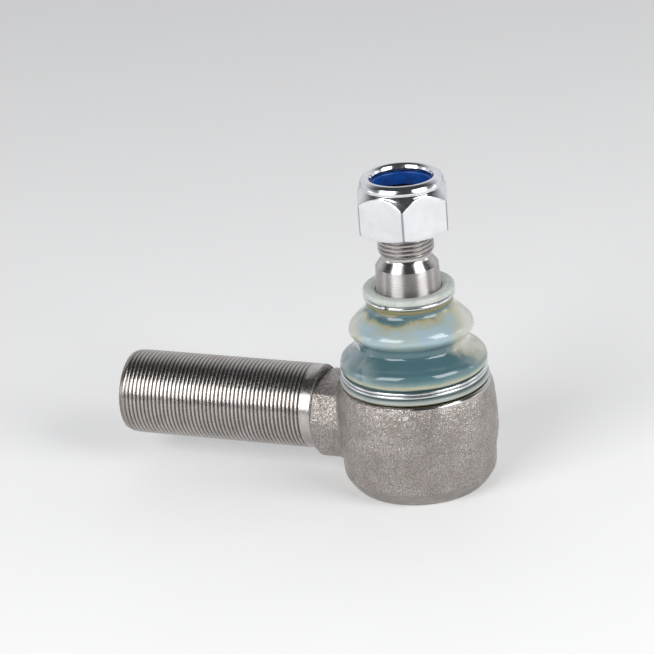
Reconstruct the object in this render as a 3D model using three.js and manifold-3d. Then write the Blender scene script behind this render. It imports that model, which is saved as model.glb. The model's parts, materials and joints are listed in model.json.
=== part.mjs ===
// Tie rod end: threaded shank, forged ball housing, sealed ball stud and self-locking nut.
// Millimetres. +Z runs up the ball stud, the shank points along -X, and the origin is the
// centre of the end cover's flat face. All pieces are drawn with the stud upright.
import * as THREE from "three";
import { mergeVertices } from "three/addons/utils/BufferGeometryUtils.js";
import Module from "manifold-3d";

const wasm = await Module();
wasm.setup();

// Driving dimensions.
const ROUND = 40; // sides of a turned face
const GAP = 0.3; // gap between neighbouring pieces

const SHANK_R = 15; // M30 x 1.5 thread, major radius
const SHANK_END_X = -107.5;
const SHANK_SHOULDER_X = -34;
const SHANK_LEAD = [2.4, 1.1]; // lead-in taper at the free end: length along the shank, depth

const BALL_R = 15;
const BALL_Z = 24; // the ball's centre is on the shank's axis
const NECK_R = 9.5;

const CONE_TOP_R = 10.78; // small end of the stud's cone
const CONE_TOP_Z = 80.3;
const CONE_BASE_Z = 61.5;
const CONE_TAPER = 0.05; // radius lost per millimetre of height, a 1:10 cone
const STUD_THREAD_R = 9.6; // M20 x 1.5, drawn at its effective outside radius
const STUD_END_Z = 103;

const NUT_FLATS = 29.7; // 30 mm hexagon, less its tolerance
const NUT_CORNER_R = 16.92; // the corners are worn round
const NUT_Z = 92.8;
const NUT_HEIGHT = 19.5;
const NUT_BORE_R = 10.05;
const NUT_CORNER_ANGLE = -71.2; // degrees from +X to one hexagon corner
const INSERT_R = 12.1; // nylon ring in the nut's collar
const INSERT_Z = 12.2;
const INSERT_HEIGHT = 5.2;

const HOUSING_R = 27.9; // at the belly
const HOUSING_TOP_Z = 37.8; // machined land under the boot
const COLLAR_NECK_R = 22.5; // the housing's neck that the boot is clamped on
const COLLAR_NECK_Z = 44.2;
const BORE_R = 20.5;
const COVER_R = 21.7;
const COVER_SEAT_Z = 4.6;

const BOOT_SPLIT_Z = 67.4; // where the flexible bellows meets its stiff top collar
const UPPER_RING = { radius: 14.95, wire: 0.7, z: 69.3 };
const LOWER_RING = { radius: 24.75, wire: 0.55, z: 41.55, pitch: 1.15, turns: 1.9 };

// Turned solid about +Z from a closed or axis-to-axis outline of [radius, z] points.
function turned(outline, sides = ROUND) {
  const points = outline.map(([r, z]) => new THREE.Vector2(r, z));
  const geometry = new THREE.LatheGeometry(points, sides);
  geometry.rotateX(Math.PI / 2);
  return geometry;
}

// Turned ring of an outline that stays clear of the axis: it is closed on itself, and taken
// anticlockwise whichever way round it is given, so that its faces point out.
function turnedRing(outline, sides = ROUND) {
  const area = THREE.ShapeUtils.area(outline.map(([r, z]) => new THREE.Vector2(r, z)));
  const loop = area < 0 ? [...outline].reverse() : outline;
  return turned([...loop, loop[0]], sides);
}

// Points on a circular arc in the [radius, z] plane, angles in degrees from +radius.
function arc(centreR, centreZ, radius, from, to, steps) {
  const points = [];
  for (let i = 0; i <= steps; i++) {
    const a = THREE.MathUtils.degToRad(from + ((to - from) * i) / steps);
    points.push([centreR + radius * Math.cos(a), centreZ + radius * Math.sin(a)]);
  }
  return points;
}

// three.js geometry to manifold solid and back.
function toSolid(geometry) {
  const bare = geometry.index ? geometry.toNonIndexed() : geometry.clone();
  bare.deleteAttribute("normal");
  bare.deleteAttribute("uv");
  const merged = mergeVertices(bare, 1e-4);
  const mesh = new wasm.Mesh({
    numProp: 3,
    vertProperties: merged.attributes.position.array,
    triVerts: new Uint32Array(merged.index.array),
  });
  return new wasm.Manifold(mesh);
}

function toGeometry(solid) {
  const mesh = solid.getMesh();
  const geometry = new THREE.BufferGeometry();
  geometry.setAttribute("position", new THREE.BufferAttribute(mesh.vertProperties, 3));
  geometry.setIndex(new THREE.BufferAttribute(mesh.triVerts, 1));
  return geometry;
}

function material(color, roughness, metalness) {
  return new THREE.MeshStandardMaterial({ color, roughness, metalness });
}

// Outline of the forging and its machined faces, without the bore.
function housingOutline() {
  const rim = [[0, 0], [23, 0], [24.6, 1.9], [26.3, 4.7]];
  const belly = [[26.7, 5.2], [27.0, 11], [27.5, 16], [HOUSING_R, 21.5], [27.7, 28], [27.0, 34]];
  const top = [[26.3, 36.5], [25.4, HOUSING_TOP_Z], [COLLAR_NECK_R, HOUSING_TOP_Z]];
  const neck = [[COLLAR_NECK_R, COLLAR_NECK_Z - 0.6], [22, COLLAR_NECK_Z], [0, COLLAR_NECK_Z]];
  return [...rim, ...belly, ...top, ...neck];
}

// The machined inside: lip over the cover, cover seat, seat bore and the mouth the stud leaves by.
function boreOutline() {
  const lip = [[0, -1], [COVER_R - 1.5, -1], [COVER_R - 1.5, 0], [COVER_R + GAP, 1.9]];
  const seat = [[COVER_R + GAP, COVER_SEAT_Z], [BORE_R, COVER_SEAT_Z], [BORE_R, 27.5]];
  const mouth = [[14.3, 33], [18.1, COLLAR_NECK_Z], [18.1, COLLAR_NECK_Z + 1], [0, COLLAR_NECK_Z + 1]];
  return [...lip, ...seat, ...mouth];
}

// Forged neck between housing and shank: a faceted bar, drawn as half of its [y, z] outline.
function neckSolid() {
  const upper = [[0, 12.8], [5.5, 12.8], [11.7, 10.4], [15.7, 1.4]];
  const lower = [[15.6, -2.6], [12.8, -10.5], [7, -15.8], [0, -16.6]];
  const half = [...upper, ...lower];
  const shape = new THREE.Shape();
  half.forEach(([y, z], i) => (i ? shape.lineTo(y, z) : shape.moveTo(y, z)));
  half
    .slice(1, -1)
    .reverse()
    .forEach(([y, z]) => shape.lineTo(-y, z));
  const length = -SHANK_SHOULDER_X - 10;
  const bar = new THREE.ExtrudeGeometry(shape, { depth: length, bevelEnabled: false });
  bar.rotateX(Math.PI / 2);
  bar.rotateZ(Math.PI / 2);
  bar.translate(SHANK_SHOULDER_X, 0, BALL_Z);
  return toSolid(bar);
}

// Shank along -X with a chamfered end.
function shankSolid() {
  const length = SHANK_SHOULDER_X - SHANK_END_X;
  const [leadLength, leadDepth] = SHANK_LEAD;
  const bar = turned([
    [0, 0],
    [SHANK_R, 0],
    [SHANK_R, length - leadLength],
    [SHANK_R - leadDepth, length],
    [0, length],
  ]);
  bar.rotateY(-Math.PI / 2);
  bar.translate(SHANK_SHOULDER_X, 0, BALL_Z);
  return toSolid(bar);
}

function housingShank() {
  const body = toSolid(turned(housingOutline()));
  const bore = toSolid(turned(boreOutline()));
  return toGeometry(body.add(neckSolid()).add(shankSolid()).subtract(bore));
}

// Plastic ball seats: two cups that hold the ball between the housing's shoulder and the spring.
function upperBallSeat() {
  const cup = BALL_R + GAP;
  const inside = arc(0, BALL_Z, cup, 0, 30, 4).map(([r, z]) => [r, z + GAP / 2]);
  const outside = [[14.7, 32.3], [BORE_R - GAP, 27.2], [BORE_R - GAP, BALL_Z + GAP / 2]];
  return turnedRing([...inside, ...outside]);
}

function lowerBallSeat() {
  const cup = BALL_R + GAP;
  const inside = arc(0, BALL_Z, cup, -60, 0, 7).map(([r, z]) => [r, z - GAP / 2]);
  const outside = [[BORE_R - GAP, BALL_Z - GAP / 2], [BORE_R - GAP, 9.4], [19.4, 8.6], [7.65, 8.6]];
  return turnedRing([...inside, ...outside]);
}

// Disc spring: a shallow cone of sheet steel, wide edge down on the cover.
function preloadSpring() {
  const sheet = 1.1;
  const outer = [19.4, COVER_SEAT_Z + 0.1];
  const inner = [9.4, 8.6 - GAP - sheet];
  return turnedRing([outer, [outer[0], outer[1] + sheet], [inner[0], inner[1] + sheet], inner]);
}

// Steel cover with a bevelled edge that the housing's lip is rolled over, and a rebate for its seal.
function endCover() {
  const top = COVER_SEAT_Z - 0.3;
  return turned([[0, 0], [19.9, 0], [COVER_R, 1.8], [COVER_R, 2.5], [20.5, 2.5], [20.5, top], [0, top]]);
}

function coverSealRing() {
  return turnedRing(arc(21.25, 3.5, 0.6, 0, 300, 5));
}

// Bellows of the dust boot: outer outline from the clamp flange up to the collar.
function bootOutside() {
  const flange = [[25.2, 38.2], [25.7, 38.6], [25.7, 39.5], [25.4, 39.75]];
  const groove = [[24.05, 39.75], [24.05, 43.35], [24.7, 43.35]];
  const lower = [[25.4, 44.4], [25.3, 45.6], [24.3, 47.2], [21.9, 48.8], [20.2, 50.4]];
  const waist = [[19.3, 52.2], [19.2, 53.6], [20, 55.1]];
  const upper = [[21.1, 56.3], [21.5, 57.9], [20.6, 60], [18.7, 62], [16.5, 64], [15.2, 65.8]];
  return [...flange, ...groove, ...lower, ...waist, ...upper, [15, BOOT_SPLIT_Z - GAP]];
}

function bootInside() {
  const neck = COLLAR_NECK_R + GAP;
  const lower = [[neck, 38.2], [neck, 44.9], [22.4, 46.2], [20.4, 47.6], [18.4, 49.4]];
  const waist = [[17.1, 52], [17, 53.8], [17.9, 56]];
  const upper = [[19.2, 57.2], [19.3, 58.3], [18.6, 59.6], [16.8, 61.2], [14.6, 63.2], [13.1, 65.2]];
  return [...lower, ...waist, ...upper, [12.9, BOOT_SPLIT_Z - GAP]];
}

function dustBoot() {
  return turnedRing([...bootOutside(), ...bootInside().reverse()]);
}

function coneRadius(z) {
  return CONE_TOP_R + CONE_TAPER * (CONE_TOP_Z - z);
}

// Stiff collar at the boot's top, sealing on the stud's cone, with a groove for its clamp ring.
function bootCollar() {
  const lip = coneRadius(BOOT_SPLIT_Z) + GAP;
  const outside = [[15, BOOT_SPLIT_Z], [15, 68.4], [14.05, 68.5], [14.05, 70.1], [15.4, 70.3]];
  const rim = [[15.75, 70.7], [15.75, 72], [15.4, 72.5], [13.2, 72.5], [lip + 0.4, 71.8]];
  return turnedRing([[lip + 1, BOOT_SPLIT_Z], ...outside, ...rim, [lip, 71.2], [lip, 68.6]]);
}

// Wire swept along a curve that takes t from 0 to 1.
class RingCurve extends THREE.Curve {
  constructor(radius, z, sweep, rise, start) {
    super();
    Object.assign(this, { radius, z, sweep, rise, start });
  }

  getPoint(t) {
    const a = this.start + t * this.sweep;
    const z = this.z + (t - 0.5) * this.rise;
    return new THREE.Vector3(this.radius * Math.cos(a), this.radius * Math.sin(a), z);
  }
}

function wire(curve, wireR, sides, steps) {
  const section = new THREE.Shape();
  for (let i = 0; i < sides; i++) {
    const a = (i / sides) * 2 * Math.PI;
    const x = wireR * Math.cos(a);
    const y = wireR * Math.sin(a);
    if (i === 0) section.moveTo(x, y);
    else section.lineTo(x, y);
  }
  return new THREE.ExtrudeGeometry(section, { steps, extrudePath: curve, bevelEnabled: false });
}

function upperClampRing() {
  const { radius, wire: wireR, z } = UPPER_RING;
  const gapAngle = 0.07;
  const start = THREE.MathUtils.degToRad(-103) + gapAngle;
  return wire(new RingCurve(radius, z, 2 * Math.PI - gapAngle, 0, start), wireR, 6, 44);
}

function lowerClampRing() {
  const { radius, wire: wireR, z, pitch, turns } = LOWER_RING;
  const start = THREE.MathUtils.degToRad(80);
  const curve = new RingCurve(radius, z, turns * 2 * Math.PI, turns * pitch, start);
  return wire(curve, wireR, 6, 80);
}

function ballStud() {
  const neckAngle = THREE.MathUtils.radToDeg(Math.acos(NECK_R / BALL_R));
  const ball = arc(0, BALL_Z, BALL_R, -68, neckAngle, 13);
  const flat = [[0, ball[0][1]]];
  const neck = [[NECK_R, 51], [9.9, 54.5], [10.9, 58.5], [coneRadius(CONE_BASE_Z), CONE_BASE_Z]];
  const cone = [[CONE_TOP_R, CONE_TOP_Z], [8.6, 83.3], [8.6, 84.9], [STUD_THREAD_R, 85.7]];
  const end = [[STUD_THREAD_R, STUD_END_Z - 1], [8.8, STUD_END_Z], [0, STUD_END_Z]];
  return turned([...flat, ...ball, ...neck, ...cone, ...end]);
}

// Hexagon with its corners turned off by cones, and the round collar that holds the insert.
function lockNut() {
  const sharpR = NUT_FLATS / 2 / Math.cos(Math.PI / 6);
  const hexagon = new THREE.CylinderGeometry(sharpR, sharpR, NUT_HEIGHT, 6);
  hexagon.rotateX(Math.PI / 2);
  hexagon.translate(0, 0, NUT_HEIGHT / 2);
  hexagon.rotateZ(THREE.MathUtils.degToRad(NUT_CORNER_ANGLE - 90));
  const top = NUT_HEIGHT;
  const foot = [[0, 0], [14.3, 0], [NUT_CORNER_R, 1.6], [NUT_CORNER_R, 12.4]];
  const head = [[NUT_FLATS / 2, top - 4.2], [14.35, top - 3.6], [14.35, top - 2.6], [13.6, top - 1]];
  const crest = [[12.6, top - 0.2], [11.8, top], [0, top]];
  const thread = [[0, -1], [NUT_BORE_R, -1], [NUT_BORE_R, INSERT_Z - GAP - 0.1]];
  const pocketR = INSERT_R + GAP;
  const pocket = [[pocketR, INSERT_Z - GAP], [pocketR, INSERT_Z + INSERT_HEIGHT + GAP]];
  const mouth = [[10.5, top - 1.4], [10.5, top - 0.7], [11.3, top + 0.1], [0, top + 0.1]];
  const hull = toSolid(turned([...foot, ...head, ...crest]));
  const bore = toSolid(turned([...thread, ...pocket, ...mouth]));
  return toGeometry(toSolid(hexagon).intersect(hull).subtract(bore));
}

function nutInsert() {
  const top = INSERT_Z + INSERT_HEIGHT;
  const outside = [[INSERT_R, INSERT_Z], [INSERT_R, top]];
  return turnedRing([[NUT_BORE_R, INSERT_Z], ...outside, [NUT_BORE_R, top]]);
}

const group = new THREE.Group();

function place(name, geometry, finish, z = 0) {
  const mesh = new THREE.Mesh(geometry, finish);
  mesh.name = name;
  mesh.position.z = z;
  group.add(mesh);
}

const forging = material("#938c86", 0.6, 0.85);
const turnedSteel = material("#b9b7b4", 0.28, 1);
const wireSteel = material("#c9cdd0", 0.2, 1);
const zinc = material("#dfe2e6", 0.22, 1);
const seatPlastic = material("#e9e6dc", 0.45, 0);
const sealRubber = material("#1c1c1d", 0.7, 0);
const bootPlastic = material("#7f9da3", 0.25, 0);
const collarPlastic = material("#cfd6c4", 0.35, 0);
const blueNylon = material("#1f3fa0", 0.4, 0);

place("housing_shank", housingShank(), forging);
place("upper_ball_seat", upperBallSeat(), seatPlastic);
place("lower_ball_seat", lowerBallSeat(), seatPlastic);
place("preload_spring", preloadSpring(), wireSteel);
place("end_cover", endCover(), turnedSteel);
place("cover_seal_ring", coverSealRing(), sealRubber);
place("dust_boot", dustBoot(), bootPlastic);
place("boot_collar", bootCollar(), collarPlastic);
place("upper_clamp_ring", upperClampRing(), wireSteel);
place("lower_clamp_ring", lowerClampRing(), wireSteel);
place("ball_stud", ballStud(), turnedSteel);
place("lock_nut", lockNut(), zinc, NUT_Z);
place("nut_insert", nutInsert(), blueNylon, NUT_Z);

export default group;
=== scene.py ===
import json
import math

import bmesh
import bpy
import numpy as np
from mathutils import Matrix, Vector


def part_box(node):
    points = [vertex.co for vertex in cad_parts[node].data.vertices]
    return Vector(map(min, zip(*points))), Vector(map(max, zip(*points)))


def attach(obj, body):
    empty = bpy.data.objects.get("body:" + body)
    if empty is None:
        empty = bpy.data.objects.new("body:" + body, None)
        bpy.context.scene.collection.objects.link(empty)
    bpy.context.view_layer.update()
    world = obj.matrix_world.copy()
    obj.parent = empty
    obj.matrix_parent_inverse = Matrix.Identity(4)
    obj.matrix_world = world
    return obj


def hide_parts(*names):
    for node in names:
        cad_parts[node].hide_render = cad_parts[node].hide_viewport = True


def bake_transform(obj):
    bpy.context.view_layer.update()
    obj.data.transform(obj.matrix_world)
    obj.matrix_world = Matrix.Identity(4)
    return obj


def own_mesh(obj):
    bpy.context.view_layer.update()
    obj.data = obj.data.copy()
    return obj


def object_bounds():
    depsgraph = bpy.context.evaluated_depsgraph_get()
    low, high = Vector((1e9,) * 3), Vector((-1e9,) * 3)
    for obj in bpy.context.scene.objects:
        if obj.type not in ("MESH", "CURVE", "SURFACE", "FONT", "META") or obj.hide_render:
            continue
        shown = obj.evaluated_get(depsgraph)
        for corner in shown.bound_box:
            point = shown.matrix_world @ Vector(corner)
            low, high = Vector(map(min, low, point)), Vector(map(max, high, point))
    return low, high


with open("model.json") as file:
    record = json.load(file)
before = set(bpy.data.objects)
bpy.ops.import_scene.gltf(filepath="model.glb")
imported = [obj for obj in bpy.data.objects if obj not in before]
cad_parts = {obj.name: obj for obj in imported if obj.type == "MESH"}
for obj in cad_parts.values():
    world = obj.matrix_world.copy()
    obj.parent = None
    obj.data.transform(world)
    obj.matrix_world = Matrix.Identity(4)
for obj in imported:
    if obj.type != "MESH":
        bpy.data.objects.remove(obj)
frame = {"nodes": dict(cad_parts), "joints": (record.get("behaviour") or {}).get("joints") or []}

CAD_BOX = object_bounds()

# Lengths are in millimetres here and become metres when a mesh is made.
MM = 0.001

BALL_Z = frame["joints"][0]["pos_m"][2] / MM
NUT_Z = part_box("lock_nut")[0].z / MM
SHANK_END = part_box("housing_shank")[0].x / MM
SHOULDER = -34.0  # where the shank meets the forged neck, along X

SIDES = 192  # columns round a turned piece
RIDGE_PITCH = 1.5  # both threads have a fine 1.5 mm pitch
MERGE_WITHIN = 2e-6  # metres; points closer than this become one


# ---------------------------------------------------------------- meshes


def add_mesh(name, verts, faces, body, crease=35):
    """A piece from points in millimetres: doubled points merged, edges sharper than crease kept sharp."""
    mesh = bpy.data.meshes.new(name)
    mesh.from_pydata((np.asarray(verts) * MM).tolist(), [], faces)
    work = bmesh.new()
    work.from_mesh(mesh)
    bmesh.ops.remove_doubles(work, verts=work.verts, dist=MERGE_WITHIN)
    bmesh.ops.recalc_face_normals(work, faces=work.faces)
    work.to_mesh(mesh)
    work.free()
    mesh.polygons.foreach_set("use_smooth", [True] * len(mesh.polygons))
    mesh.set_sharp_from_angle(angle=math.radians(crease))
    piece = bpy.data.objects.new(name, mesh)
    bpy.context.scene.collection.objects.link(piece)
    if body:
        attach(piece, body)
    return piece


def grid_faces(rows, columns, closed):
    """Quads of a grid of points: columns go round from 0 to a full turn, rows run along the outline."""
    k, j = np.meshgrid(np.arange(rows if closed else rows - 1), np.arange(columns - 1), indexing="ij")
    up = (k + 1) % rows
    quads = np.stack([k * columns + j, k * columns + j + 1, up * columns + j + 1, up * columns + j], -1)
    return quads.reshape(-1, 4).tolist()


def around(radius, height, theta):
    """Points of a turned grid from radius and height arrays of shape (rows, columns)."""
    return np.stack([radius * np.cos(theta), radius * np.sin(theta), height], -1)


def rounded(outline, closed=False, steps=4):
    """An outline of [r, z] or [r, z, fillet radius] points, with its corners rounded off."""
    result = []
    count = len(outline)
    for i, corner in enumerate(outline):
        here = np.array(corner[:2], float)
        fillet = corner[2] if len(corner) > 2 else 0
        if not fillet or (not closed and i in (0, count - 1)):
            result.append(here)
            continue
        before = np.array(outline[i - 1][:2], float) - here
        after = np.array(outline[(i + 1) % count][:2], float) - here
        reach_a, reach_b = np.linalg.norm(before), np.linalg.norm(after)
        before, after = before / reach_a, after / reach_b
        half = math.acos(np.clip(before @ after, -1, 1)) / 2
        cut = min(fillet / math.tan(half), 0.49 * reach_a, 0.49 * reach_b)
        middle = here + (before + after) / np.linalg.norm(before + after) * cut / math.cos(half)
        start, end = here + before * cut - middle, here + after * cut - middle
        for t in np.linspace(0, 1, steps + 1):
            spoke = start * (1 - t) + end * t
            result.append(middle + spoke / np.linalg.norm(spoke) * np.linalg.norm(start))
    return np.array(result)


def flowing(points, steps=5):
    """A smooth line through [r, z] points."""
    p = np.array(points, float)
    p = np.vstack([2 * p[0] - p[1], p, 2 * p[-1] - p[-2]])
    line = []
    for a, b, c, d in zip(p, p[1:], p[2:], p[3:]):
        for t in np.arange(steps) / steps:
            line.append(
                b + 0.5 * t * (c - a + t * (2 * a - 5 * b + 4 * c - d + t * (3 * (b - c) + d - a)))
            )
    return np.vstack([line, p[-2:-1]])


def turned(name, outline, body, closed=True, sides=SIDES, shape=None, crease=35):
    """A turned piece from its outline; shape may move each point of the grid."""
    line = np.asarray(outline, float)
    theta = np.linspace(0, 2 * math.pi, sides + 1)
    radius = np.repeat(line[:, :1], sides + 1, 1)
    height = np.repeat(line[:, 1:2], sides + 1, 1)
    if shape:
        radius, height = shape(radius, height, theta)
    verts = around(radius, height, theta).reshape(-1, 3)
    return add_mesh(name, verts, grid_faces(len(line), sides + 1, closed), body, crease)


def along_shank(piece):
    """Turns a piece drawn along +Z so that it runs from the shoulder along the shank, -X."""
    turn = Matrix.Rotation(math.radians(-90), 4, "Y")
    piece.data.transform(Matrix.Translation(Vector((SHOULDER, 0, BALL_Z)) * MM) @ turn)
    return piece


# One pitch of a thread: where along the pitch, and what part of the depth is cut away.
RIDGE = [(0.0, 1.0), (0.08, 0.92), (0.26, 0.16), (0.33, 0.0), (0.67, 0.0), (0.74, 0.16), (0.92, 0.92)]


def thread_rows(theta, crest, depth, low, high, run_out=1.2, ends=0.0):
    """Rows of a right-hand thread between two heights.

    It fades over run_out at both heights, to a bar with the share ends of the depth cut away.
    """
    radius, height = [], []
    for turn in range(-1, math.ceil((high - low) / RIDGE_PITCH) + 1):
        for phase, cut in RIDGE:
            z = np.clip(low + RIDGE_PITCH * (turn + phase + theta / (2 * math.pi)), low, high)
            fade = np.clip(np.minimum(z - low, high - z) / run_out, 0, 1)
            radius.append(crest - depth * (cut * fade + ends * (1 - fade)))
            height.append(z)
    return np.array(radius), np.array(height)


def threaded(name, before, thread, after, body, sides=SIDES, crease=26):
    """A solid bar with a thread: plain outlines on both sides of the thread rows."""
    theta = np.linspace(0, 2 * math.pi, sides + 1)
    radius, height = thread_rows(theta, *thread)
    plain = [np.repeat(np.asarray(part, float)[:, :, None], sides + 1, 2) for part in (before, after)]
    radius = np.vstack([plain[0][:, 0], radius, plain[1][:, 0]])
    height = np.vstack([plain[0][:, 1], height, plain[1][:, 1]])
    verts = around(radius, height, theta).reshape(-1, 3)
    return add_mesh(name, verts, grid_faces(len(radius), sides + 1, False), body, crease)


def wire(name, radius, height, thickness, start, sweep, rise, body, steps=260, sides=20):
    """A bent round wire with rounded ends, round the stud's axis; thickness is its radius."""
    t = np.linspace(0, 1, steps)
    length = radius * math.radians(sweep)
    ends = (1 - np.cos(np.linspace(0, math.pi / 2, 7))) * thickness / length
    t = np.concatenate([ends, t[4:-4], 1 - ends[::-1]])
    inset = np.minimum(t, 1 - t) * length
    swell = np.sqrt(np.clip(1 - (1 - np.clip(inset / thickness, 0, 1)) ** 2, 0, 1))
    angle = math.radians(start) + t * math.radians(sweep)
    section = np.linspace(0, 2 * math.pi, sides + 1)
    r = radius + thickness * swell[:, None] * np.cos(section)
    z = height + (t[:, None] - 0.5) * rise + thickness * swell[:, None] * np.sin(section)
    verts = np.stack([r * np.cos(angle)[:, None], r * np.sin(angle)[:, None], z], -1).reshape(-1, 3)
    return add_mesh(name, verts, grid_faces(len(t), sides + 1, False), body, 60)


# ---------------------------------------------------------------- forging


def outline_distance(u, v, outline):
    """Distance to a closed outline in a plane, negative inside."""
    best = np.full(u.shape, np.inf)
    sign = np.ones(u.shape)
    for (u0, v0), (u1, v1) in zip(outline, outline[1:] + outline[:1]):
        du, dv = u1 - u0, v1 - v0
        along = np.clip(((u - u0) * du + (v - v0) * dv) / (du * du + dv * dv), 0, 1)
        best = np.minimum(best, (u - u0 - along * du) ** 2 + (v - v0 - along * dv) ** 2)
        if dv:
            crosses = ((v0 > v) != (v1 > v)) & (u < u0 + (v - v0) * du / dv)
            sign = np.where(crosses, -sign, sign)
    return sign * np.sqrt(best)


def facets_distance(u, v, outline, rounding):
    """Distance to a convex outline with its corners rounded; the outline runs clockwise."""
    total = 0
    for (u0, v0), (u1, v1) in zip(outline, outline[1:]):
        length = math.hypot(u1 - u0, v1 - v0)
        flat = (-(v1 - v0) * (u - u0) + (u1 - u0) * (v - v0)) / length
        total = total + np.exp(np.clip(flat / rounding, -60, 60))
    return rounding * np.log(total)


def blended(a, b, reach):
    """Union of two distances with a fillet."""
    share = np.clip(0.5 + 0.5 * (b - a) / reach, 0, 1)
    return b + (a - b) * share - reach * share * (1 - share)


HOUSING_OUTLINE = [
    (26.35, 4.7), (26.65, 6.2), (26.8, 10), (27.1, 13), (27.6, 16.1), (27.88, 19.2), (27.93, 22.2),
    (27.85, 25.2), (27.7, 28.3), (27.45, 31.3), (27.25, 33.6), (26.85, 35.2), (26.4, 36.5), (25.95, 37.3),
    (25.5, 37.6), (24.0, 37.6), (15.6, 34.4), (14.6, 33.4), (20.5, 27.5), (20.5, 4.7),
]
# Half of the neck's section, [y, z] from the shank's axis, and where the neck begins and ends along X.
NECK_OUTLINE = [
    (0, 11.9), (5.6, 11.9), (11.6, 9.9), (15.9, 1.4), (15.7, -2.6), (12.9, -10.6), (7, -15.9), (0, -16.7),
]
NECK_FROM, NECK_TO = -34.25, -22.2
NECK_EDGE = 0.2
NECK_END_FILLET = 1.0
NECK_ROOT_FILLET = 1.5
FORGING_BOX = (-36, -30, 2), (30, 30, 40)
# Where the forging's skin is rough: outside this radius and between these heights.
ROUGH_OUTSIDE = 24
ROUGH_FROM, ROUGH_TO = 5.2, 37.2


def forging_field(p):
    """Distance to the forging: the housing's wall and the faceted bar that joins it to the shank."""
    x, y, z = p[..., 0], p[..., 1], p[..., 2]
    wall = outline_distance(np.hypot(x, y), z, HOUSING_OUTLINE)
    section = facets_distance(np.abs(y), z - BALL_Z, NECK_OUTLINE, NECK_EDGE)
    ends = np.maximum(NECK_FROM - x, x - NECK_TO)
    bar = -blended(-section, -ends, NECK_END_FILLET)
    return blended(wall, bar, NECK_ROOT_FILLET)


def skin(field, low, high, step):
    """Quads on a field's zero level, with one vertex in each grid cell that it crosses, moved onto it."""
    axes = [np.arange(a, b + step, step) for a, b in zip(low, high)]
    grid = np.stack(np.meshgrid(*axes, indexing="ij"), -1)
    value = field(grid)
    inside = value < 0
    cells = tuple(n - 1 for n in value.shape)
    total, count, edges = np.zeros(cells + (3,)), np.zeros(cells), []
    for axis in range(3):
        first = [slice(None)] * 3
        second = [slice(None)] * 3
        first[axis], second[axis] = slice(0, -1), slice(1, None)
        a, b = value[tuple(first)], value[tuple(second)]
        cross = inside[tuple(first)] != inside[tuple(second)]
        share = np.where(cross, a / np.where(cross, a - b, 1), 0)
        place = grid[tuple(first)].copy()
        place[..., axis] += share * step
        for shift in ((0, 0), (0, 1), (1, 0), (1, 1)):
            part = [slice(None)] * 3
            for other, s in zip([(axis + 1) % 3, (axis + 2) % 3], shift):
                part[other] = slice(s, cells[other] + s)
            part = tuple(part)
            total += place[part] * cross[part][..., None]
            count += cross[part]
        edges.append(cross)
    used = count > 0
    index = np.full(cells, -1)
    index[used] = np.arange(used.sum())
    verts = total[used] / count[used][:, None]
    faces = []
    for axis, cross in enumerate(edges):
        b, c = (axis + 1) % 3, (axis + 2) % 3
        at = np.argwhere(cross)
        at = at[(at[:, b] > 0) & (at[:, c] > 0) & (at[:, b] < cells[b]) & (at[:, c] < cells[c])]
        quad = []
        for sb, sc in ((1, 1), (0, 1), (0, 0), (1, 0)):
            cell = at.copy()
            cell[:, b] -= sb
            cell[:, c] -= sc
            quad.append(index[tuple(cell.T)])
        quad = np.stack(quad, -1)
        outward = inside[tuple(at.T)]
        faces += np.where(outward[:, None], quad, quad[:, ::-1]).tolist()
    probe = 0.05
    for _ in range(3):
        moves = np.eye(3) * probe
        slope = np.stack([(field(verts + d) - field(verts - d)) / (2 * probe) for d in moves], -1)
        verts = verts - slope * (field(verts) / np.clip((slope**2).sum(-1), 0.2, None))[:, None]
    return verts, faces


def smooth_noise(p, scale, seed):
    """Gentle noise from a few fixed sine waves, one value for each point, about -1 to 1."""
    draw = np.random.default_rng(seed)
    total = np.zeros(p.shape[:-1])
    waves = 14
    for _ in range(waves):
        way = draw.normal(size=3)
        way /= np.linalg.norm(way)
        total += np.sin(p @ way * (2 * math.pi / scale) * draw.uniform(0.6, 1.5) + draw.uniform(0, 6.3))
    return total / math.sqrt(waves / 2) / 1.6


def make_forging():
    """The forging, with gentle lumps on its outside that fade towards its machined ends."""
    step = 0.5
    verts, faces = skin(forging_field, *FORGING_BOX, step)
    radius, height = np.hypot(verts[:, 0], verts[:, 1]), verts[:, 2]
    outer = np.clip((radius - ROUGH_OUTSIDE) / 2, 0, 1)
    away = outer * np.clip((height - ROUGH_FROM) / 1.5, 0, 1) * np.clip((ROUGH_TO - height) / 1.5, 0, 1)
    lumps = 0.075 * smooth_noise(verts, 9, 3) + 0.035 * smooth_noise(verts, 3.2, 4)
    way = verts * [1, 1, 0]
    way /= np.linalg.norm(way, axis=1)[:, None]
    verts = verts + way * (lumps * away)[:, None]
    return add_mesh("forging", verts, faces, "housing", 60)


# ---------------------------------------------------------------- view


# Angles in degrees, the lens in millimetres and places in metres.
CAMERA_AZIMUTH = 20.66
CAMERA_ELEVATION = 23.22
CAMERA_DISTANCE = 1.0
CAMERA_ROLL = -3.98
CAMERA_LENS = 160.0
CAMERA_SENSOR = 36
LOOK_AT = Vector((0, 0, 0.045))
FRAMING = (-0.02978, 0.01075)  # how far the picture's centre lies from LOOK_AT: right, up


def from_angles(azimuth, elevation):
    """Direction towards a place seen at that azimuth and elevation; azimuth 0 is -Y and 90 is +X."""
    a, e = math.radians(azimuth), math.radians(elevation)
    return Vector((math.sin(a) * math.cos(e), -math.cos(a) * math.cos(e), math.sin(e)))


# ---------------------------------------------------------------- materials


def rgb(code):
    """Linear colour from a hex code."""
    parts = [int(code[i : i + 2], 16) / 255 for i in (1, 3, 5)]
    return tuple(c / 12.92 if c <= 0.04045 else ((c + 0.055) / 1.055) ** 2.4 for c in parts) + (1,)


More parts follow.
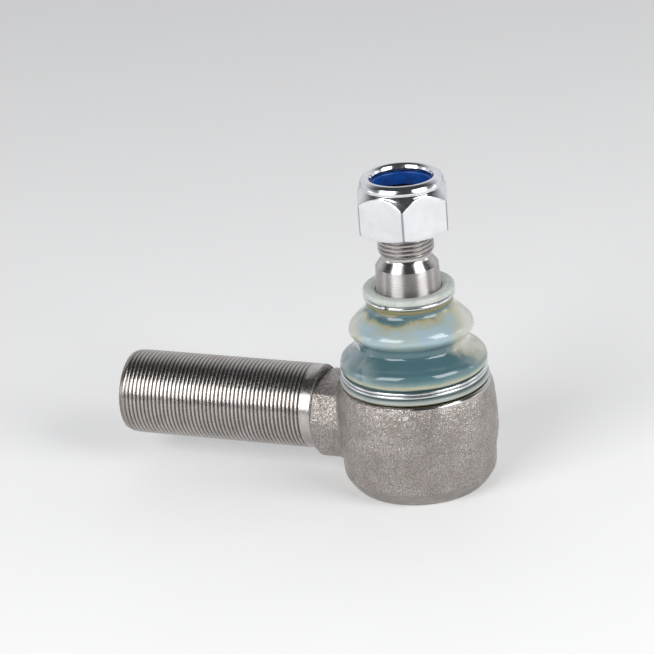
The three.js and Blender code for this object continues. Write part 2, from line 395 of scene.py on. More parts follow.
class Paint:
    """The node tree of one material. Each method adds a node and gives back its output socket."""

    def __init__(self, name, **sockets):
        self.material = bpy.data.materials.new(name)
        self.material.use_nodes = True
        self.tree = self.material.node_tree
        self.shader = self.tree.nodes["Principled BSDF"]
        for key, value in sockets.items():
            self.shader.inputs[key.replace("_", " ")].default_value = value
        self.place = self.add("ShaderNodeTexCoord").outputs["Object"]

    def add(self, kind, inputs=None, **settings):
        node = self.tree.nodes.new(kind)
        for key, value in settings.items():
            setattr(node, key, value)
        for key, value in (inputs or {}).items():
            if isinstance(value, bpy.types.NodeSocket):
                self.tree.links.new(value, node.inputs[key])
            else:
                node.inputs[key].default_value = value
        return node

    def vector(self, operation, a, b=(0, 0, 0), output="Vector"):
        return self.add("ShaderNodeVectorMath", {0: a, 1: b}, operation=operation).outputs[output]

    def reach(self, axis, centre_z=0.0):
        """Distance from a line along X or Z; one along X lies centre_z above the underside."""
        across = {"X": (0, 1, 1), "Z": (1, 1, 0)}[axis]
        from_line = self.vector("SUBTRACT", self.place, (0, 0, centre_z))
        return self.vector("LENGTH", self.vector("MULTIPLY", from_line, across), output="Value")

    def stretch(self, x, y, z):
        """Place scaled along each axis."""
        return self.add("ShaderNodeMapping", {"Vector": self.place, "Scale": (x, y, z)}).outputs[0]

    def noise(self, size_mm, detail=4.0, rough=0.55, place=None, distort=0.0):
        node = self.add(
            "ShaderNodeTexNoise",
            {
                "Vector": place or self.place,
                "Scale": 1 / (size_mm * MM),
                "Detail": detail,
                "Roughness": rough,
                "Distortion": distort,
            },
        )
        return node.outputs["Fac"]

    def cells(self, size_mm, feature="F1"):
        inputs = {"Vector": self.place, "Scale": 1 / (size_mm * MM)}
        return self.add("ShaderNodeTexVoronoi", inputs, feature=feature).outputs["Distance"]

    def math(self, operation, a, b=0.5, clamp=False):
        node = self.add("ShaderNodeMath", {0: a, 1: b}, operation=operation, use_clamp=clamp)
        return node.outputs[0]

    def band(self, value, low, high, out_low=0.0, out_high=1.0):
        """Value between low and high, spread from out_low to out_high, smoothly."""
        node = self.add(
            "ShaderNodeMapRange",
            {"Value": value, "From Min": low, "From Max": high, "To Min": out_low, "To Max": out_high},
            interpolation_type="SMOOTHSTEP",
        )
        return node.outputs["Result"]

    def mix(self, share, a, b):
        node = self.add("ShaderNodeMix", data_type="RGBA")
        for socket, value in ((node.inputs[0], share), (node.inputs[6], a), (node.inputs[7], b)):
            if isinstance(value, bpy.types.NodeSocket):
                self.tree.links.new(value, socket)
            else:
                socket.default_value = value
        return node.outputs[2]

    def along(self, direction):
        """How far a place lies from the origin in a direction."""
        return self.vector("DOT_PRODUCT", self.place, direction, "Value")

    def ramp(self, value, stops):
        """Colour by a length in metres, from (mm, hex colour) stops."""
        low, high = stops[0][0], stops[-1][0]
        share = self.add("ShaderNodeMapRange", {"Value": value, "From Min": low * MM, "From Max": high * MM})
        node = self.add("ShaderNodeValToRGB", {"Fac": share.outputs["Result"]})
        points = node.color_ramp.elements
        while len(points) < len(stops):
            points.new(0.5)
        for point, (length, code) in zip(points, stops):
            point.position = (length - low) / (high - low)
            point.color = rgb(code)
        return node.outputs["Color"]

    def axis(self, name):
        return self.add("ShaderNodeSeparateXYZ", {0: self.place}).outputs[name]

    def bump(self, height, depth_mm, strength=1.0, normal=None):
        inputs = {"Height": height, "Distance": depth_mm * MM, "Strength": strength}
        if normal:
            inputs["Normal"] = normal
        return self.add("ShaderNodeBump", inputs).outputs[0]

    def finish(self, colour=None, roughness=None, normal=None):
        for key, value in (("Base Color", colour), ("Roughness", roughness), ("Normal", normal)):
            if value is not None:
                self.tree.links.new(value, self.shader.inputs[key])
        return self.material


SEAM_HEIGHT = 0.0246
SEAM_HALF_WIDTH = 0.00035


def forged_steel():
    """Blasted forging skin with a faint seam where the dies met."""
    p = Paint("forged_steel", Metallic=0.86)
    grain = p.noise(0.42, 3.0, 0.6)
    pits = p.cells(0.75)
    patches = p.noise(7, 4.0, 0.6)
    fold = p.math("ADD", p.axis("Z"), p.math("MULTIPLY", p.noise(14, 3.0), 0.009))
    seam = p.math("ABSOLUTE", p.math("SUBTRACT", fold, SEAM_HEIGHT))
    seam = p.band(seam, 0.0, SEAM_HALF_WIDTH, 1.0, 0.0)
    colour = p.mix(p.band(patches, 0.3, 0.7), rgb("#aaa39e"), rgb("#c2bcb8"))
    colour = p.mix(p.band(grain, 0.35, 0.65), rgb("#857e79"), colour)
    colour = p.mix(p.math("MULTIPLY", seam, 0.25), colour, rgb("#5d5753"))
    rough = p.band(grain, 0.3, 0.7, 0.42, 0.22)
    normal = p.bump(p.noise(2.2, 4.0, 0.6), 0.7, 0.8)
    normal = p.bump(pits, 0.26, 0.8, normal)
    normal = p.bump(grain, 0.12, 0.8, normal)
    normal = p.bump(seam, 0.1, 0.5, normal)
    return p.finish(colour, rough, normal)


def turned_steel(name, light, dark, axis, pitch_mm, rough, depth_mm, shaded_roots=None, stretched=0.0):
    """Steel with fine tool marks round an axis.

    root is the height of the axis, the radius of the thread roots and that of the crests, in mm; painted
    shade darkens the roots.
    stretched is how far the highlights are drawn out along the axis.
    """
    p = Paint(name, Metallic=1.0)
    round_axis = 0.02
    scale = [round_axis] * 3
    scale["XYZ".index(axis)] = 1
    marks = p.noise(pitch_mm, 3.0, 0.6, p.stretch(*scale))
    patches = p.noise(5, 4.0, 0.6)
    colour = p.mix(p.band(patches, 0.3, 0.7), rgb(dark), rgb(light))
    colour = p.mix(p.band(marks, 0.35, 0.65, 0.25, 0.0), colour, rgb("#6d6863"))
    # Painted shade: the thread roots are coloured darker than the crests.
    if shaded_roots:
        centre_z, low, high = shaded_roots
        reach = p.reach(axis, centre_z * MM)
        colour = p.mix(p.band(reach, low * MM, high * MM), rgb("#8b8580"), colour)
    if stretched:
        p.shader.inputs["Anisotropic"].default_value = stretched
        p.shader.inputs["Anisotropic Rotation"].default_value = 0.25
        tangent = p.add("ShaderNodeTangent", direction_type="RADIAL", axis=axis).outputs[0]
        p.tree.links.new(tangent, p.shader.inputs["Tangent"])
    roughness = p.band(p.noise(1.2, 4.0, 0.6), 0.3, 0.7, *rough)
    return p.finish(colour, roughness, p.bump(marks, depth_mm, 1.0))


def zinc_plate():
    """Bright cloudy zinc, darker along the corners of the hexagon."""
    p = Paint("zinc_plate", Metallic=1.0)
    cloud = p.noise(6, 5.0, 0.6)
    specks = p.noise(0.35, 3.0, 0.6)
    colour = p.mix(p.band(cloud, 0.35, 0.65), rgb("#dadcde"), rgb("#e3e4e7"))
    # Darker along the corners of the hexagon.
    colour = p.mix(p.band(p.reach("Z"), *NUT_DARK_CORNER, 0.0, 0.6), colour, rgb("#474d55"))
    rough = p.band(p.noise(2.4, 5.0, 0.65), 0.35, 0.68, 0.1, 0.2)
    normal = p.bump(p.noise(3.5, 3.0, 0.5), 0.03, 0.5)
    normal = p.bump(specks, 0.012, 0.6, normal)
    return p.finish(colour, rough, normal)


def spring_wire():
    p = Paint("spring_wire", Metallic=1.0)
    colour = p.mix(p.noise(4, 3.0), rgb("#d2d5d7"), rgb("#e2e4e6"))
    rough = p.band(p.noise(2.0, 3.0), 0.3, 0.7, 0.2, 0.26)
    return p.finish(colour, rough, p.bump(p.noise(2.0, 3.0), 0.006, 0.3))


# Colours of the boot from its foot to its top: height in mm and colour.
BOOT_COLOURS = [
    (43.5, "#4f6d73"), (43.9, "#8d9684"), (44.5, "#b4ad92"), (45.2, "#8b9a8c"), (46.0, "#5d7b80"),
    (48.5, "#4d6e76"), (52.0, "#47676f"), (55.0, "#4a6a72"), (56.6, "#8a9f9e"), (58.2, "#9bb2b9"),
    (61.0, "#a0b4bb"), (62.6, "#a7ab9a"), (63.3, "#a59d78"), (63.9, "#67807f"), (64.8, "#4f6c72"),
    (66.4, "#567077"), (66.85, "#8a8768"), (67.4, "#8f8a68"),
]
# Bands of the boot by height in metres: where each begins and where it is full.
FLANGE_FOOT = (0.0384, 0.0389)
FLANGE_SIDE = (0.0396, 0.0402)
ABOVE_BEAD = (0.0462, 0.0485)
LOWER_SHOULDER = (0.0475, 0.0530)
WAIST = (0.0535, 0.0560)
BELOW_WAIST = (0.0555, 0.0535)
BULGE_FOOT = (0.0555, 0.0575)
BULGE_TOP = (0.0625, 0.0645)
SWAG = (0.0595, 0.0635)
# The pattern's sideways direction, and bands along it in metres.
BOOT_SIDEWAYS = from_angles(110.66, 0)
SWAG_MIDDLE = -0.0073
SWAG_HALF_WIDTH = 0.011
# Where the painted rim light at both sides begins and is full.
RIM_LIGHT_RIGHT = (0.0115, 0.0200)
RIM_LIGHT_LEFT = (-0.0205, -0.0160)
CLOUDY_LEFT = (-0.018, -0.010)
# Two more places in metres: the collar's foot by height, the nut's corners by distance from its axis.
COLLAR_FOOT = (0.0683, 0.0687)
NUT_DARK_CORNER = (0.01688, 0.01699)


def boot_rubber():
    """Glossy, slightly see-through plastic over cloudy grease."""
    p = Paint(
        "boot_plastic",
        IOR=1.5,
        Subsurface_Weight=0.1,
        Subsurface_Scale=0.003,
        Coat_Weight=0.65,
        Coat_Roughness=0.13,
    )
    p.shader.inputs["Subsurface Radius"].default_value = (0.6, 0.9, 1.0)
    height = p.axis("Z")
    sideways = p.along(BOOT_SIDEWAYS)
    upper = p.band(height, *SWAG)

    # Bands by height, which wander more towards the top and dip in a swag.
    wander = p.math("SUBTRACT", p.noise(7, 4.0, 0.55, p.stretch(1, 1, 0.6), 0.5), 0.5)
    drift = p.math("MULTIPLY", wander, p.band(height, *SWAG, 0.001, 0.0065))
    off_middle = p.math("ABSOLUTE", p.math("SUBTRACT", sideways, SWAG_MIDDLE))
    swag = p.band(off_middle, 0.0, SWAG_HALF_WIDTH, 0.0, 0.0017)
    drifted = p.math("ADD", height, p.math("SUBTRACT", drift, p.math("MULTIPLY", swag, upper)))
    colour = p.ramp(drifted, BOOT_COLOURS)

    # Blue and green clouds on the upper bulge, pale ones at the left of the lower bulge.
    cloud = p.noise(8, 4.0, 0.55, p.stretch(1, 1, 0.7), 0.8)
    bulge = p.math("MULTIPLY", p.band(height, *BULGE_FOOT), p.band(height, *BULGE_TOP, 1.0, 0.0))
    blue = p.math("MULTIPLY", bulge, p.band(cloud, 0.48, 0.66, 0.0, 0.5))
    colour = p.mix(blue, colour, rgb("#9ab3c3"))
    green = p.math("MULTIPLY", bulge, p.band(cloud, 0.36, 0.48, 0.26, 0.0))
    colour = p.mix(green, colour, rgb("#aeb39a"))
    left = p.math("MULTIPLY", p.band(sideways, *CLOUDY_LEFT, 1.0, 0.0), p.band(height, *BELOW_WAIST))
    left = p.math("MULTIPLY", left, p.band(cloud, 0.4, 0.6, 0.1, 0.5))
    colour = p.mix(left, colour, rgb("#93a3a0"))

    # Painted rim light at both sides, where light shows through the thin plastic: pale, with a yellowish
    # fringe.
    spread = p.math("ADD", sideways, p.math("MULTIPLY", wander, 0.009))
    lower = p.band(height, *LOWER_SHOULDER, 0.0070, -0.0010)
    inset = p.math("ADD", lower, p.band(height, *WAIST, 0.0, 0.0010))
    # edge holds the painted rim light, first on the right, then on both sides.
    edge = p.band(p.math("SUBTRACT", spread, inset), *RIM_LIGHT_RIGHT, 0.0, 0.85)
    left_rim_light = p.math("MULTIPLY", p.band(spread, *RIM_LIGHT_LEFT, 0.6, 0.0), bulge)
    edge = p.math("MULTIPLY", p.math("MAXIMUM", edge, left_rim_light), p.band(height, *ABOVE_BEAD))
    rim_light_fringe = p.math("MULTIPLY", edge, p.math("SUBTRACT", 1.0, edge))
    colour = p.mix(p.math("MULTIPLY", rim_light_fringe, 2.4), colour, rgb("#aba582"))
    colour = p.mix(edge, colour, rgb("#cac9bf"))

    # Fine veins, and the flange with its dark foot.
    fine = p.noise(1.6, 4.0, 0.6, p.stretch(1, 1, 0.3), 0.5)
    veins = p.math("MULTIPLY", p.band(fine, 0.52, 0.68), bulge)
    colour = p.mix(p.math("MULTIPLY", veins, 0.24), colour, rgb("#b4ad7c"))
    colour = p.mix(p.band(height, *FLANGE_SIDE, 1.0, 0.0), colour, rgb("#a0a6a2"))
    colour = p.mix(p.band(height, *FLANGE_FOOT, 0.85, 0.0), colour, rgb("#6f6b38"))
    rough = p.band(fine, 0.35, 0.7, 0.12, 0.2)
    normal = p.bump(p.noise(4.5, 3.0, 0.5), 0.1, 0.3)
    normal = p.bump(p.noise(0.5, 3.0, 0.5), 0.008, 0.3, normal)
    return p.finish(colour, rough, normal)


def collar_plastic():
    """Milky plastic, olive where grease shows at its foot."""
    p = Paint("collar_plastic", IOR=1.5, Subsurface_Weight=0.35, Subsurface_Scale=0.004)
    p.shader.inputs["Subsurface Radius"].default_value = (1.0, 1.0, 0.8)
    colour = p.mix(p.band(p.noise(5, 3.0), 0.35, 0.65), rgb("#b6bdb8"), rgb("#c6cbc5"))
    colour = p.mix(p.band(p.noise(2.2, 5.0, 0.6), 0.52, 0.72, 0.0, 0.3), colour, rgb("#a9a878"))
    colour = p.mix(p.band(p.axis("Z"), *COLLAR_FOOT, 1.0, 0.0), colour, rgb("#827f58"))
    rough = p.band(p.noise(1.0, 4.0), 0.3, 0.7, 0.24, 0.4)
    return p.finish(colour, rough, p.bump(p.noise(1.4, 3.0), 0.04, 0.5))


def plain_plastic(name, light, dark, grain_mm=0.8, rough=(0.3, 0.48)):
    p = Paint(name, IOR=1.5)
    colour = p.mix(p.band(p.noise(4, 4.0), 0.3, 0.7), rgb(dark), rgb(light))
    roughness = p.band(p.noise(grain_mm, 4.0), 0.3, 0.7, *rough)
    return p.finish(colour, roughness, p.bump(p.noise(grain_mm, 3.0), 0.02, 0.5))


MATERIALS = {
    "forged": forged_steel(),
    "machined": turned_steel(
        "machined_steel", "#a9a5a2", "#96918d", "Z", pitch_mm=0.35, rough=(0.3, 0.46), depth_mm=0.008
    ),
    "shank": turned_steel(
        "shank_steel", "#c6c2c0", "#b3aeab", "X", pitch_mm=0.12, rough=(0.2, 0.3), depth_mm=0.004,
        shaded_roots=(BALL_Z, 14.45, 14.9),
    ),
    "stud": turned_steel(
        "stud_steel", "#d6d2d2", "#c9c4c3", "Z", pitch_mm=0.14, rough=(0.42, 0.47), depth_mm=0.003,
        stretched=1.0,
    ),
    "stud_polished": turned_steel(
        "polished_steel", "#c9c6c4", "#bdb9b6", "Z", pitch_mm=0.2, rough=(0.14, 0.2), depth_mm=0.002
    ),
    "stud_thread": turned_steel(
        "stud_thread_steel", "#c2bfbe", "#b1adab", "Z", pitch_mm=0.2, rough=(0.26, 0.36), depth_mm=0.003,
        shaded_roots=(0, 8.95, 9.4),
    ),
    "zinc": zinc_plate(),
    "wire": spring_wire(),
    "boot": boot_rubber(),
    "collar": collar_plastic(),
    "nylon": plain_plastic("blue_nylon", "#1150a4", "#0d3c88", 1.0, (0.28, 0.42)),
    "seat": plain_plastic("seat_plastic", "#e9e6dc", "#dcd8cb"),
    "rubber": plain_plastic("seal_rubber", "#2a2a2b", "#1a1a1b", 0.5, (0.5, 0.7)),
}


def wear(piece, *names):
    """Gives a piece its materials."""
    piece.data.materials.clear()
    for name in names:
        piece.data.materials.append(MATERIALS[name])
    return piece


# ---------------------------------------------------------------- housing and shank


# The turned edge at the housing's top is a little off the forging's centre, so it shows on one side only.
FACING_SHIFT = 0.65
FACING_SIDE = math.radians(-22)
FACING_INNER_R = 24.2

SHANK_R = 14.88
SHANK_THREAD_DEPTH = 0.55
SHANK_PLAIN = 3.8  # unthreaded length at the shoulder
SHANK_LEAD_IN = 1.5
WORN_LENGTH = 6.5
WORN_SHARE = 0.03
SHOULDER_FACE = 0.4


def make_housing():
    rim = [
        (20.1, 0.35), (20.5, 0.0, 0.2), (22.95, 0, 0.35), (24.65, 1.95, 1.5), (26.38, 4.75, 0.25),
        (26.2, 5.3), (22.1, 5.3), (22.1, 1.9),
    ]
    top = [
        (25.9, 34.9), (25.75, 37.0, 0.5), (25.1, 37.8, 0.4), (22.5, 37.8), (22.5, 43.6, 0.3),
        (22.0, 44.2), (18.1, 44.2), (14.7, 34.2), (15.6, 33.9), (24.0, 34.9),
    ]

    def off_centre(radius, height, theta):
        shift = FACING_SHIFT * np.cos(theta - FACING_SIDE)
        return radius + np.where(radius > FACING_INNER_R, shift, 0), height

    wear(turned("housing_rim", rounded(rim, True), "housing"), "machined")
    wear(turned("housing_top", rounded(top, True), "housing", shape=off_centre), "stud_polished")
    forging = wear(make_forging(), "forged")
    make_shank()
    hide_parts("housing_shank")


def make_shank():
    """The turned and threaded bar, drawn from its shoulder outwards, with worn first turns."""
    length = SHOULDER - SHANK_END
    first, last = SHANK_PLAIN, length - SHANK_LEAD_IN
    start = rounded([(0, 0), (14.3, 0), (SHANK_R, 0.6, 0.5), (SHANK_R, first)])
    end = rounded([(SHANK_R, last), (14.8, last + 0.3, 0.3), (14.45, length, 0.35), (0, length)])
    thread = (SHANK_R, SHANK_THREAD_DEPTH, first, last)
    bar = threaded("shank", start, thread, end, None, 160)
    for vertex in bar.data.vertices:
        past = max(0, vertex.co.z / MM - length + WORN_LENGTH)
        worn = 1 - WORN_SHARE * past**2 / WORN_LENGTH**2
        vertex.co.x *= worn
        vertex.co.y *= worn
    along_shank(bar)
    wear(bar, "shank", "forged")
    for face in bar.data.polygons:
        face.material_index = int(face.center.x > (SHOULDER - SHOULDER_FACE) * MM)
    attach(bar, "housing")


# ---------------------------------------------------------------- boot and its rings


BOOT_OUTSIDE = [
    (24.72, 43.4), (25.3, 44.2), (25.5, 45.2), (25.35, 46.0), (25.0, 46.75), (24.4, 47.4), (23.5, 47.95),
    (22.5, 48.45), (21.5, 49.1), (20.6, 49.85), (19.85, 50.55), (19.35, 51.1), (19.1, 51.6), (19.0, 52.2),
    (18.95, 53.1), (19.15, 53.95), (19.9, 54.9), (20.9, 56.0), (21.5, 57.1), (21.56, 58.1), (21.2, 59.1),
    (20.5, 60.05), (19.6, 61.0), (18.65, 62.0), (17.5, 63.0), (16.45, 64.0), (15.6, 65.05), (15.1, 66.1),
    (14.95, 67.1),
]
BOOT_INSIDE = [
    (22.8, 44.9), (22.6, 46.1), (21.1, 47.3), (19.5, 48.9), (18.4, 50.6), (17.9, 52.2), (17.85, 53.8),
    (18.5, 55.6), (19.4, 57.1), (19.3, 58.3), (18.6, 59.7), (16.9, 61.3), (14.8, 63.3), (13.3, 65.2),
    (12.95, 67.1),
]
# The soft bellows sits a little higher on one side: direction in radians and height in mm.
BOOT_HIGH_SIDE = math.radians(-66)
BOOT_LIFT = 1.4
# Heights in mm: between the first two the bellows is uneven, then where the lift begins and settles again.
UNEVEN_FROM, UNEVEN_TO = 43.6, 66.5
LIFT_FROM, LIFT_RISE = 44.3, 3.2
SETTLE_FROM, SETTLE_RISE = 60, 6.6


def make_boot():
    """The boot: its flange, its two bulges with slight unevenness, and their inner side."""
    flange = rounded(
        [
            (22.8, 38.15), (25.3, 38.15, 0.3), (25.75, 38.6, 0.4), (25.75, 39.5, 0.35), (25.2, 39.8, 0.3),
            (24.15, 40.0, 0.3), (24.15, 43.2, 0.3), (24.72, 43.4),
        ]
    )
    outline = np.vstack([flange[:-1], flowing(BOOT_OUTSIDE), flowing(BOOT_INSIDE)[::-1]])
    outline = np.vstack([outline, [(22.8, 41.5)]])

    def soften(radius, height, theta):
        p = around(radius, height, theta)
        bellows = np.clip((height - UNEVEN_FROM) / 2, 0, 1) * np.clip((UNEVEN_TO - height) / 2, 0, 1)
        wobble = 0.11 * smooth_noise(p, 17, 21) + 0.05 * smooth_noise(p, 7, 22)
        sag = 0.10 * smooth_noise(p * [1, 1, 0.4], 26, 23)
        raised = np.clip((height - LIFT_FROM) / LIFT_RISE, 0, 1)
        settled = np.clip((height - SETTLE_FROM) / SETTLE_RISE, 0, 1)
        share = (3 - 2 * raised) * raised**2 * (1 - (3 - 2 * settled) * settled**2)
        front = np.clip(1.2 * np.cos(theta - BOOT_HIGH_SIDE) - 0.2, 0, 1)
        return radius + wobble * bellows, height + sag * bellows + BOOT_LIFT * share * front

    boot = turned("dust_boot_bellows", outline, None, shape=soften, crease=50)
    wear(boot, "boot")
    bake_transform(boot)
    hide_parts("dust_boot")


def make_collar():
    outline = [
        (12.75, 67.1), (14.95, 67.1, 0.2), (15.0, 68.35, 0.2), (14.1, 68.5, 0.15), (14.1, 70.1, 0.15),
        (15.35, 70.2, 0.3), (15.8, 70.8, 0.4), (15.75, 72.0, 0.45), (15.3, 72.5, 0.4), (13.0, 72.5, 0.5),
        (12.1, 72.2, 0.4), (11.42, 71.9, 0.2), (11.55, 68.6, 0.4),
    ]
    outline = rounded(outline, True)
    collar = wear(turned("collar_ring", outline, "collar"), "collar")
    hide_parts("boot_collar")


def make_rings():
    """The split ring under the collar and the ring of nearly two turns on the flange."""
    upper = wire(
        "upper_clamp_wire", radius=14.95, height=69.3, thickness=0.72, start=-99, sweep=356, rise=0.0,
        body="collar",
    )
    lower = wire(
        "lower_clamp_wire", radius=24.82, height=41.6, thickness=0.56, start=80, sweep=684, rise=2.45,
        body="housing", steps=420,
    )
    for piece, node in ((upper, "upper_clamp_ring"), (lower, "lower_clamp_ring")):
        wear(piece, "wire")
        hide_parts(node)


# ---------------------------------------------------------------- stud and nut


BALL_R = 15
BALL_FLAT = math.radians(-68)  # where the ball is cut off below
STUD_NECK_R = 9.5
STUD_THREAD = (9.6, 0.62, 84.8, 102.4, 0.9, 1.0)  # crest to ends, as thread_rows takes them
# Heights at which the stud's finish changes.
CONE_TOP = 80.3
THREAD_FOOT = 84.9


def make_stud():
    """Ball, neck, cone, undercut and thread in one turned piece, with a finish for each stretch."""
    ball = [
        (BALL_R * math.cos(a), BALL_Z + BALL_R * math.sin(a))
        for a in np.linspace(BALL_FLAT, math.acos(STUD_NECK_R / BALL_R), 40)
    ]
    neck = rounded(
        [
            (STUD_NECK_R, 51), (9.9, 54.5, 4), (10.9, 58.5, 3), (11.72, 61.5, 1), (10.78, 80.25, 0.15),
            (8.5, 83.4, 2.5), (8.5, 85.0),
        ]
    )
    before = [(0, ball[0][1]), *ball, *neck]
    after = rounded([(8.5, 102.4), (8.2, 103, 0.2), (0, 103)])
    stud = threaded("ball_stud_turned", before, STUD_THREAD, after, "stud", 144)
    wear(stud, "stud", "stud_polished", "stud_thread")
    for face in stud.data.polygons:
        face.material_index = int(face.center.z > CONE_TOP * MM) + int(face.center.z > THREAD_FOOT * MM)
    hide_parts("ball_stud")


NUT_FLAT_R = 14.85
NUT_CORNER_R = 17.01
NUT_CORNER_ANGLE = -71.2
# Both chamfers are cones: radius or height where each starts, and its slope.
NUT_FOOT_R = 14.2
NUT_FOOT_SLOPE = 0.577
NUT_HEAD_Z = 15.35
NUT_HEAD_SLOPE = 1.6
NUT_COLLAR_R = 14.4
# The collar's outline above the head chamfer, over the lip and down to the insert.
NUT_COLLAR = [
    (NUT_COLLAR_R, 16.0, 0.2), (14.15, 16.25, 0.12), (14.12, 16.5, 0.12), (14.35, 16.7, 0.2),
    (14.3, 17.4, 0.8), (13.7, 18.5, 1.2), (12.7, 19.3, 1.2), (11.9, 19.5, 1.0), (11.0, 18.9, 0.7),
    (10.55, 17.9, 0.5), (10.5, 17.1, 0.1), (12.4, 16.95),
]
NUT_BORE = [
    (12.4, 16.95), (12.4, 11.9), (10.05, 11.8), (10.05, 1.3), (11.3, 0.0, 0.15), (14.2, 0.0, 0.15),
    (14.4, 0.115),
]


def nut_columns(across=18, corner=2):
    """Angles round the nut with a column on every corner's edges, and the hexagon's radius at each."""
    reach = math.acos(NUT_FLAT_R / NUT_CORNER_R)
    angles = []
    for side in range(6):
        middle = math.radians(NUT_CORNER_ANGLE + 30 + 60 * side)
        angles += list(middle + np.linspace(-reach, reach, across + 1))
        angles += list(middle + np.linspace(reach, math.radians(60) - reach, corner + 1)[1:-1])
    angles.append(angles[0] + 2 * math.pi)
    theta = np.array(angles)
    fold = (np.degrees(theta) - NUT_CORNER_ANGLE) % 60 - 30
    return theta, np.minimum(NUT_FLAT_R / np.cos(np.radians(fold)), NUT_CORNER_R)


def nut_rows(side):
    """Radius and height of each row of the nut, from its bore round its outside and back to the bore."""
    ones = np.ones_like(side)
    foot = (side - NUT_FOOT_R) * NUT_FOOT_SLOPE
    head = NUT_HEAD_Z - (side - NUT_FLAT_R) * NUT_HEAD_SLOPE
    rows = [(r * ones, z * ones) for r, z in rounded(NUT_BORE)[:-1]]
    # Lower chamfer and its rounded edge, the flats, then the upper chamfer's rounded edge.
    rows += [(side - 0.16, foot - 0.16 * NUT_FOOT_SLOPE), (side - 0.04, foot + 0.02), (side, foot + 0.14)]
    rows += [(side, foot + (head - foot) * share) for share in np.linspace(0.1, 0.9, 6)]
    rows += [(side, head - 0.2), (side - 0.02, head - 0.06), (side - 0.06, head + 0.075)]
    rows.append((side - 0.125, head + 0.125 * NUT_HEAD_SLOPE))
    for share in (0.3, 0.65):
        inner = NUT_COLLAR_R + (side - NUT_COLLAR_R) * (1 - share)
        rows.append((inner - 0.05, NUT_HEAD_Z - (inner - NUT_FLAT_R) * NUT_HEAD_SLOPE))
    rows += [(r * ones, z * ones) for r, z in rounded(NUT_COLLAR)[:-1]]
    return np.array([r for r, _ in rows]), np.array([z for _, z in rows])


def make_nut():
    theta, side = nut_columns()
    radius, height = nut_rows(side)
    verts = around(radius, height + NUT_Z, theta).reshape(-1, 3)
    faces = grid_faces(len(radius), len(theta), True)
    nut = add_mesh("lock_nut_plated", verts, faces, "nut", 28)
    wear(nut, "zinc")
    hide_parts("lock_nut")
    outline = rounded([(9.95, 12.25, 0.3), (12.3, 12.25, 0.2), (12.3, 16.8, 0.2), (9.95, 16.8, 0.45)], True)
    ring = turned("nut_insert_ring", outline + [0, NUT_Z], "nut", sides=128)
    wear(ring, "nylon")
    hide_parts("nut_insert")


# ---------------------------------------------------------------- underside and inner pieces


def make_cover():
    """The end cover, with a shallow ring groove on its outer face."""
    outline = rounded(
        [
            (0, 0), (9.0, 0.0), (9.6, 0.35, 0.5), (13.8, 0.35, 0.5), (14.5, 0.0, 0.3), (19.8, 0.0, 0.25),
            (21.7, 1.8, 0.2), (21.7, 2.5), (20.5, 2.5), (20.5, 4.3, 0.3), (0, 4.3),
        ]
    )
    cover = wear(turned("end_cover_disc", outline, "housing", closed=False), "machined")
    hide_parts("end_cover")


def make_spring():
    """The disc spring, which the lower seat presses flatter."""
    low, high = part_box("preload_spring")
    bottom, top = low.z / MM, high.z / MM
    sheet, outer, inner, edge = 1.1, 19.4, 9.4, 0.3
    corners = [(outer, bottom), (outer, bottom + sheet), (inner, top), (inner, top - sheet)]
    outline = rounded([(*corner, edge) for corner in corners], True)
    spring = turned("preload_spring_disc", outline, "housing")
    wear(spring, "wire")
    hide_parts("preload_spring")
    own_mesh(spring)


def dress_cad():
    """The inner pieces keep their CAD shape and get their finish."""
    finishes = {"upper_ball_seat": "seat", "lower_ball_seat": "seat", "cover_seal_ring": "rubber"}
    for node, finish in finishes.items():
        wear(frame["nodes"][node], finish)


# ---------------------------------------------------------------- stage, lights and camera


def make_camera():
    """Camera at the photo's angle, with its roll, turned so that the picture is framed as the photo is."""
    back = from_angles(CAMERA_AZIMUTH, CAMERA_ELEVATION)
    right = Vector((0, 0, 1)).cross(back).normalized()
    up = back.cross(right)
    roll = Matrix.Rotation(math.radians(CAMERA_ROLL), 3, back)
    right, up = roll @ right, roll @ up
    aim = (right * FRAMING[0] + up * FRAMING[1] - back * CAMERA_DISTANCE).normalized()
    turn = (-back).rotation_difference(aim)
    axes = Matrix((turn @ right, turn @ up, -aim)).transposed().to_4x4()
    data = bpy.data.cameras.new("camera")
    data.lens = CAMERA_LENS
    data.sensor_width = CAMERA_SENSOR
    data.clip_start = 0.01
    camera = bpy.data.objects.new("camera", data)
    camera.matrix_world = Matrix.Translation(LOOK_AT + back * CAMERA_DISTANCE) @ axes
    bpy.context.scene.collection.objects.link(camera)
    bpy.context.scene.camera = camera


def softbox(name, azimuth, elevation, distance, width, height, power):
    """A soft area light that faces LOOK_AT."""
    data = bpy.data.lights.new(name, "AREA")
    data.shape = "RECTANGLE"
    data.size, data.size_y = width, height
    data.energy = power
    light = bpy.data.objects.new(name, data)
    place = LOOK_AT + from_angles(azimuth, elevation) * distance
    light.location = place
    light.rotation_euler = (place - LOOK_AT).to_track_quat("Z", "Y").to_euler()
    bpy.context.scene.collection.objects.link(light)


# Colours of the dim and the pale part of the room, and where each pale part begins and is full, as the
# share of a direction that points there.
ROOM_DIM = (0.06, 0.062, 0.066, 1)
ROOM_PALE = (0.81, 0.82, 0.84, 1)
BACKDROP = (-0.25, 0.5)
BACKDROP_DROP = 0.5  # how much the backdrop's direction points down
FLANKS = (0.55, 0.9)
FLANK_TOP = (0.5, 0.2)


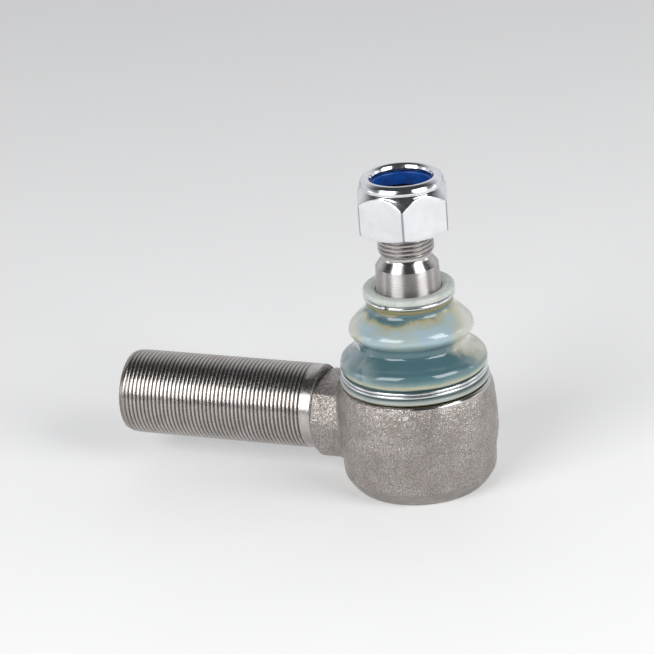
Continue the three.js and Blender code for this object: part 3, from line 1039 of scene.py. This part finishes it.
def studio_world():
    """Dim room with a pale backdrop behind the object, and pale flanks low at both sides."""
    world = bpy.data.worlds.new("studio")
    world.use_nodes = True
    tree = world.node_tree
    way = tree.nodes.new("ShaderNodeTexCoord").outputs["Generated"]
    far = from_angles(CAMERA_AZIMUTH + 180, 0) - Vector((0, 0, BACKDROP_DROP))

    def facing(direction, low, high):
        dot = tree.nodes.new("ShaderNodeVectorMath")
        dot.operation = "DOT_PRODUCT"
        tree.links.new(way, dot.inputs[0])
        dot.inputs[1].default_value = direction
        spread = tree.nodes.new("ShaderNodeMapRange")
        spread.interpolation_type = "SMOOTHSTEP"
        tree.links.new(dot.outputs["Value"], spread.inputs["Value"])
        spread.inputs["From Min"].default_value, spread.inputs["From Max"].default_value = low, high
        return spread.outputs["Result"]

    def join(operation, a, b):
        node = tree.nodes.new("ShaderNodeMath")
        node.operation = operation
        tree.links.new(a, node.inputs[0])
        tree.links.new(b, node.inputs[1])
        return node.outputs[0]

    side = from_angles(CAMERA_AZIMUTH + 90, 0)
    flanks = join("MAXIMUM", facing(side, *FLANKS), facing(-side, *FLANKS))
    flanks = join("MULTIPLY", flanks, facing((0, 0, 1), *FLANK_TOP))
    bright = join("MAXIMUM", facing(far, *BACKDROP), flanks)
    colour = tree.nodes.new("ShaderNodeMix")
    colour.data_type = "RGBA"
    tree.links.new(bright, colour.inputs[0])
    colour.inputs[6].default_value = ROOM_DIM
    colour.inputs[7].default_value = ROOM_PALE
    tree.links.new(colour.outputs[2], tree.nodes["Background"].inputs[0])
    return world


FLOOR_REACH = 8.0
FLOOR_GLOW = 0.17
FLOOR_GAP = 0.0001  # how far the floor lies under the part


def make_stage():
    p = Paint("pale_floor", Roughness=0.65, Emission_Color=(1, 1, 1, 1), Emission_Strength=FLOOR_GLOW)
    colour = p.mix(p.noise(60, 4.0), rgb("#f1f1f1"), rgb("#f6f6f6"))
    material = p.finish(colour, None, p.bump(p.noise(2, 3.0), 0.02, 0.3))
    corners = [(x * FLOOR_REACH, y * FLOOR_REACH, 0) for x, y in ((-1, -1), (1, -1), (1, 1), (-1, 1))]
    mesh = bpy.data.meshes.new("floor")
    mesh.from_pydata(corners, [], [(0, 1, 2, 3)])
    mesh.materials.append(material)
    floor = bpy.data.objects.new("floor", mesh)
    floor.location.z = CAD_BOX[0].z - FLOOR_GAP
    bpy.context.scene.collection.objects.link(floor)
    bpy.context.scene.world = studio_world()
    bpy.context.scene.view_settings.view_transform = "Standard"


# Each light's name, azimuth from the camera's, elevation, distance, width and height in metres, and watts.
SOFTBOXES = [
    ("softbox_left", -43, 29, 1.1, 0.72, 0.66, 7.4),
    ("softbox_right", 53, 29, 1.1, 0.6, 0.66, 6.8),
    ("strip_left", -92, 4, 1.2, 0.3, 0.7, 1),
    ("strip_right", 96, 4, 1.2, 0.3, 0.7, 1),
]


def make_lights():
    for name, azimuth, *rest in SOFTBOXES:
        softbox(name, CAMERA_AZIMUTH + azimuth, *rest)


make_camera()
make_stage()
make_lights()
make_housing()
make_boot()
make_collar()
make_rings()
make_stud()
make_nut()
make_cover()
make_spring()
dress_cad()
